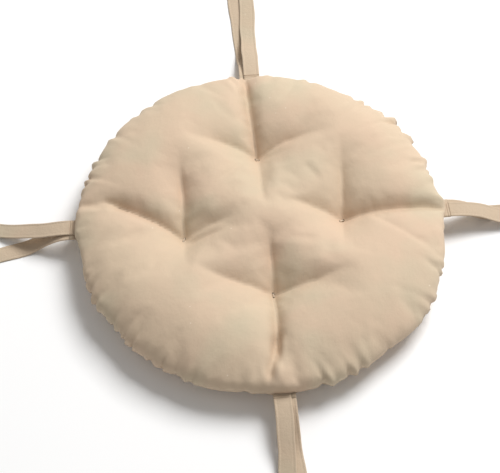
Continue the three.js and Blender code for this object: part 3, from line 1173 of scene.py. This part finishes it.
def threadMaterial(name, colour, dark):
    material, graph, shader = newMaterial(name)
    place = graph.add("TexCoord").outputs["Object"]
    fibres = graph.noise(graph.vector("MULTIPLY", place, (3000.0, 3000.0, 3000.0)), 1.0, 3.0, 0.6)
    slow = graph.noise(place, 400.0, 2.0)
    share = graph.math("MULTIPLY", graph.math("ADD", fibres, slow), 0.5)
    graph.feed(shader.inputs["Base Color"], graph.mix(graph.spread(share, 0.35, 0.65), dark, colour))
    graph.feed(shader.inputs["Roughness"], graph.spread(fibres, 0.3, 0.7, 0.7, 0.9))
    bump = graph.add("Bump", Height=fibres, Distance=0.1 * mm)
    graph.feed(shader.inputs["Normal"], bump.outputs["Normal"])
    shader.inputs["Sheen Weight"].default_value = 0.15
    return material


def fibreMaterial():
    material, graph, shader = newMaterial("filling_fibre")
    place = graph.add("TexCoord").outputs["Object"]
    wisps = graph.noise(graph.vector("MULTIPLY", place, (90.0, 40.0, 160.0)), 1.0, 5.0, 0.7)
    graph.feed(shader.inputs["Base Color"], graph.mix(graph.spread(wisps, 0.3, 0.7), (0.7, 0.68, 0.63, 1),
                                                      (0.86, 0.85, 0.82, 1)))
    graph.feed(shader.inputs["Roughness"], graph.spread(wisps, 0.3, 0.7, 0.85, 1.0))
    bump = graph.add("Bump", Height=wisps, Distance=3 * mm)
    graph.feed(shader.inputs["Normal"], bump.outputs["Normal"])
    shader.inputs["Sheen Weight"].default_value = 0.3
    return material


calico = clothMaterial("unbleached_calico", calicoLook, needleHoles)
tieCloth = clothMaterial("tie_cloth", tieLook)
cotton = threadMaterial("cotton_thread", (0.90, 0.80, 0.66, 1), (0.66, 0.53, 0.40, 1))
tieThread = threadMaterial("tie_thread", (0.80, 0.69, 0.55, 1), (0.64, 0.53, 0.41, 1))
fibre = fibreMaterial()
print("materials made")

for piece in (topCloth, bottomCloth):
    piece.data.materials.clear()
    piece.data.materials.append(calico)
    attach(piece, "pad")
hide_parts("top_panel")
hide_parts("bottom_panel")

filling.data.materials.append(fibre)
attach(filling, "pad")
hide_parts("filling")

seamStitches.data.materials.append(cotton)
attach(seamStitches, "pad")
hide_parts("seam_stitching")

for name, piece in tuftStitches.items():
    piece.data.materials.append(cotton)
    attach(piece, "pad")
    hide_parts("tuft_thread_" + name)

for side in tufts:
    end = makeTieEnd(side)
    end.data.materials.append(tieCloth)
    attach(end, "pad")
    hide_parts("tie_ends_" + side)
    for upper in (False, True):
        strap, sewn = makeTie(side, upper)
        body = f"tie_{side}_{pairName(upper)}"
        strap.data.materials.append(tieCloth)
        sewn.data.materials.append(tieThread)
        for piece, slot in ((strap, "tie_cloth"), (sewn, "thread")):
            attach(piece, body)
        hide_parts(body)
print("ties made")

bpy.data.objects.remove(padForm)


studio = {
    "floor": (0.95, 0.95, 0.95, 1),
    "ambient": 0.34,
    "keyPower": 208,
    "keySize": 2.1,
    "keyFrom": (1.95, 1.95, 3.3),
    "azimuth": -6.5,
    "elevation": 58,
    "distance": 1.5,
    "lens": 101.1,
    "lookAt": (0, 0, 0.030),
    "shiftRight": 0.0116,
    "shiftUp": 0.0144,
}


def makeFloor():
    mesh = bpy.data.meshes.new("floor")
    mesh.from_pydata([(-4, -4, 0), (4, -4, 0), (4, 4, 0), (-4, 4, 0)], [], [[0, 1, 2, 3]])
    floor = bpy.data.objects.new("floor", mesh)
    scene.collection.objects.link(floor)
    material, graph, shader = newMaterial("floor_white")
    place = graph.add("TexCoord").outputs["Object"]
    cloudy = graph.noise(place, 3.0, 2.0)
    low = tuple(value * 0.98 for value in studio["floor"][:3]) + (1,)
    graph.feed(shader.inputs["Base Color"], graph.mix(cloudy, low, studio["floor"]))
    shader.inputs["Roughness"].default_value = 0.9
    mesh.materials.append(material)
    return floor


def makeLight(name, place, target, power, size):
    light = bpy.data.lights.new(name, "AREA")
    light.energy = power
    light.size = size
    lamp = bpy.data.objects.new(name, light)
    scene.collection.objects.link(lamp)
    lamp.location = place
    lamp.rotation_mode = "QUATERNION"
    lamp.rotation_quaternion = (Vector(target) - Vector(place)).to_track_quat("-Z", "Y")
    return lamp


def makeCamera():
    azimuth = math.radians(studio["azimuth"])
    elevation = math.radians(studio["elevation"])
    back = Vector((math.sin(azimuth) * math.cos(elevation), -math.cos(azimuth) * math.cos(elevation),
                   math.sin(elevation)))
    right = Vector((math.cos(azimuth), math.sin(azimuth), 0))
    up = right.cross(-back)
    aim = Vector(studio["lookAt"]) - right * studio["shiftRight"] - up * studio["shiftUp"]
    camera = bpy.data.objects.new("camera", bpy.data.cameras.new("camera"))
    scene.collection.objects.link(camera)
    camera.location = aim + back * studio["distance"]
    camera.rotation_mode = "QUATERNION"
    camera.rotation_quaternion = (-back).to_track_quat("-Z", "Y")
    camera.data.lens = studio["lens"]
    scene.camera = camera


floor = makeFloor()
key = makeLight("key_light", studio["keyFrom"], (0, 0, 0), studio["keyPower"], studio["keySize"])
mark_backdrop(floor, key)
makeCamera()
world = bpy.data.worlds.new("studio")
scene.world = world
world.use_nodes = True
background = world.node_tree.nodes["Background"]
background.inputs["Color"].default_value = (1, 0.985, 0.965, 1)
background.inputs["Strength"].default_value = studio["ambient"]
scene.view_settings.view_transform = "Standard"
print("studio made")

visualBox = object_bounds()
boxes = {"cad": cadBox, "visual": visualBox}
{name: [list(corner) for corner in box] for name, box in boxes.items()}
